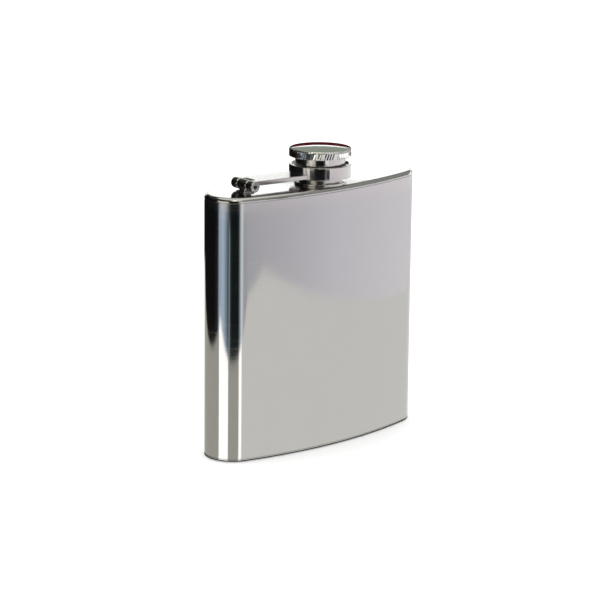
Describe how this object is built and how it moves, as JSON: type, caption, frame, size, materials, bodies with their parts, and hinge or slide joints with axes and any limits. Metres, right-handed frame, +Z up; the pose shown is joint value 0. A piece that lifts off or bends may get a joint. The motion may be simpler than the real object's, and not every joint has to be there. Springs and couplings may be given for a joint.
{
  "type": "hip flask",
  "caption": "Curved steel hip flask with a knurled screw cap held captive in a collar on a hinged arm.",
  "frame": {"origin": "middle of the flask's footprint on the table", "axes": "+Z up, flask wide along X, convex front towards -Y, cap hinge towards -X"},
  "size_m": [0.093, 0.026, 0.1073],
  "materials": {
    "wall": "mirror polished stainless steel",
    "lid": "mirror polished stainless steel",
    "base": "mirror polished stainless steel",
    "neck": "polished stainless steel",
    "hinge": "polished stainless steel",
    "collar": "polished stainless steel",
    "cap": "polished stainless steel, knurled side",
    "pin": "plain spring steel",
    "liner": "matt"
  },
  "bodies": {
    "flask": {"body_wall": "wall", "lid_plate": "lid", "base_plate": "base", "neck": "neck", "weld_ring": "neck", "hinge_post": "hinge"},
    "arm": {"swing_arm": "hinge", "hinge_pin": "pin", "collar_ring": "collar"},
    "slider": {"retaining_clip": "pin"},
    "cap": {"cap_skirt": "cap", "cap_head": "cap", "cap_liner": "liner"}
  },
  "joints": [
    {"name": "arm_swing", "type": "hinge", "parent": "flask", "child": "arm", "pos_m": [-0.032, 0.00167, 0.0966], "axis": [-0.111, -0.9938, 0], "range_deg": [0, 180]},
    {"name": "cap_lift", "type": "slide", "parent": "arm", "child": "slider", "axis": [0, 0, 1], "range_m": [0, 0.00176]},
    {"name": "cap_spin", "type": "hinge", "parent": "slider", "child": "cap", "pos_m": [0, -0.00191, 0.104], "axis": [0, 0, 1], "range_deg": [0, 450]}
  ],
  "couplings": [
    {"joint": "cap_lift", "follows": "cap_spin", "m_per_rad": 0.00022282}
  ]
}
